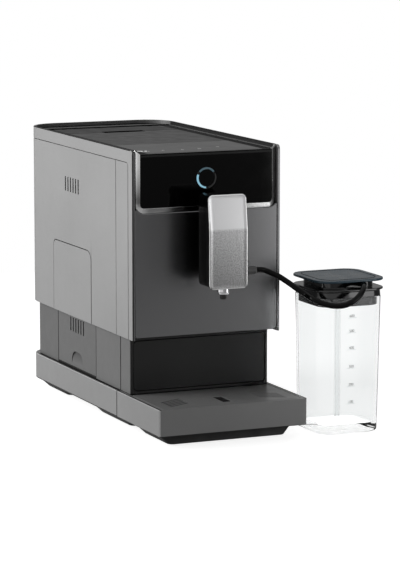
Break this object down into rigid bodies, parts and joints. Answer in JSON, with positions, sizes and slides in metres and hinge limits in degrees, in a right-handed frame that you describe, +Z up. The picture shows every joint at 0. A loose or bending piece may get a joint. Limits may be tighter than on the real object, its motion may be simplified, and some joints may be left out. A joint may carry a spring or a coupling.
{
  "type": "espresso machine with grinder",
  "caption": "Slim bean-to-cup espresso machine: touch front, height-adjustable spout, drip tray drawer, bean hopper with burr grinder, water tank, side service door and a milk jug on a hose.",
  "frame": {"origin": "on the worktop, in the machine's middle plane, below the front face of the upper housing", "axes": "+X to the right seen from the front, +Y to the rear, +Z up; the front with the spout faces -Y"},
  "size_m": [0.277, 0.4529, 0.3219],
  "materials": {
    "shell_grey": "fine satin",
    "lower_grey": "fine matt",
    "cover_satin": "satin, metallic look",
    "gloss_black": "gloss",
    "black": "matt",
    "inner_black": "moulded",
    "deck_grey": "fine matt",
    "trim_metal": "satin",
    "plate_metal": "fine brushed",
    "nozzle_chrome": "polished",
    "grate_steel": "brushed",
    "burr_steel": "machined",
    "light_blue": "light guide",
    "rubber": "matt",
    "board_green": "printed board",
    "heater_metal": "cast",
    "pump_black": "moulded",
    "orange": "moulded",
    "tank_clear": "clear plastic, faintly grey",
    "jug_clear": "clear",
    "lid_slate": "satin",
    "float_red": "satin",
    "hose_black": "gloss"
  },
  "bodies": {
    "machine": {"top_frame": "shell_grey", "side_strip_left": "shell_grey", "side_strip_right": "shell_grey", "housing_shell": "shell_grey", "lower_housing": "lower_grey", "base_skirt": "shell_grey", "base_plate": "black", "foot_pad_front": "rubber", "foot_pad_middle": "rubber", "foot_pad_rear": "rubber", "front_trim": "trim_metal", "control_panel": "gloss_black", "light_ring": "light_blue", "front_cover": "cover_satin", "top_deck": "deck_grey", "bean_hopper": "inner_black", "grinder_housing": "inner_black", "grinder_motor": "burr_steel", "coffee_chute": "inner_black", "inner_frame": "inner_black", "brew_frame": "inner_black", "brew_motor": "burr_steel", "heater_block": "heater_metal", "water_pump": "pump_black", "control_board": "board_green", "power_board": "board_green", "tank_seat": "inner_black", "mains_inlet": "black", "inlet_screw_left": "burr_steel", "inlet_screw_right": "burr_steel", "milk_jug": "jug_clear", "jug_lid_base": "black", "pickup_tube": "jug_clear", "milk_hose": "hose_black"},
    "drawer": {"tray_skirt": "shell_grey", "tray_basin": "black", "grounds_container": "inner_black", "drawer_block": "lower_grey", "drawer_panel": "gloss_black"},
    "grate": {"drip_grate": "grate_steel"},
    "float": {"tray_float": "float_red"},
    "spout": {"spout_plate": "plate_metal", "spout_front_shell": "gloss_black", "spout_rear_shell": "black", "coffee_nozzle": "nozzle_chrome", "nozzle_tip": "black", "hose_collar": "gloss_black"},
    "bean_lid": {"bean_lid": "deck_grey", "bean_lid_seal": "rubber"},
    "tank": {"water_tank": "tank_clear", "tank_lid_pin": "burr_steel"},
    "tank_lid": {"tank_lid": "deck_grey"},
    "service_door": {"service_door": "shell_grey"},
    "grind_ring": {"grind_ring": "orange", "upper_burr": "burr_steel"},
    "burr": {"lower_burr": "burr_steel"},
    "piston": {"brew_piston": "orange"},
    "spindle": {"brew_spindle": "burr_steel"},
    "jug_cap": {"jug_cap": "lid_slate"}
  },
  "joints": [
    {"name": "drawer_slide", "type": "slide", "parent": "machine", "child": "drawer", "axis": [0, -1, 0], "range_m": [0, 0.14]},
    {"name": "grate_lift", "type": "slide", "parent": "drawer", "child": "grate", "axis": [0, 0, 1], "range_m": [0, 0.05]},
    {"name": "float_lift", "type": "slide", "parent": "drawer", "child": "float", "axis": [0, 0, 1], "range_m": [0, 0.006]},
    {"name": "spout_slide", "type": "slide", "parent": "machine", "child": "spout", "axis": [0, 0, -1], "range_m": [0, 0.045]},
    {"name": "bean_lid_lift", "type": "slide", "parent": "machine", "child": "bean_lid", "axis": [0, 0, 1], "range_m": [0, 0.06]},
    {"name": "tank_lift", "type": "slide", "parent": "machine", "child": "tank", "axis": [0, 0, 1], "range_m": [0, 0.15]},
    {"name": "tank_lid_hinge", "type": "hinge", "parent": "tank", "child": "tank_lid", "pos_m": [0, 0.3028, 0.3163], "axis": [-1, 0, 0], "range_deg": [0, 80]},
    {"name": "door_hinge", "type": "hinge", "parent": "machine", "child": "service_door", "pos_m": [-0.0893, 0.18855, 0.1923], "axis": [0, 1, 0], "range_deg": [0, 40]},
    {"name": "grind_adjust", "type": "hinge", "parent": "machine", "child": "grind_ring", "pos_m": [-0.02, 0.176, 0.268], "axis": [0, 0, 1], "range_deg": [-60, 60]},
    {"name": "burr_spin", "type": "hinge", "parent": "machine", "child": "burr", "pos_m": [-0.02, 0.176, 0.2527], "axis": [0, 0, 1], "continuous": true},
    {"name": "spindle_turn", "type": "hinge", "parent": "machine", "child": "spindle", "pos_m": [-0.046, 0.212, 0.156], "axis": [0, 0, 1], "range_deg": [0, 720]},
    {"name": "piston_slide", "type": "slide", "parent": "machine", "child": "piston", "axis": [0, 0, 1], "range_m": [0, 0.024]},
    {"name": "jug_cap_lift", "type": "slide", "parent": "machine", "child": "jug_cap", "axis": [0, 0, 1], "range_m": [0, 0.03]}
  ],
  "couplings": [
    {"joint": "spindle_turn", "follows": "piston_slide", "rad_per_m": 523.6}
  ]
}
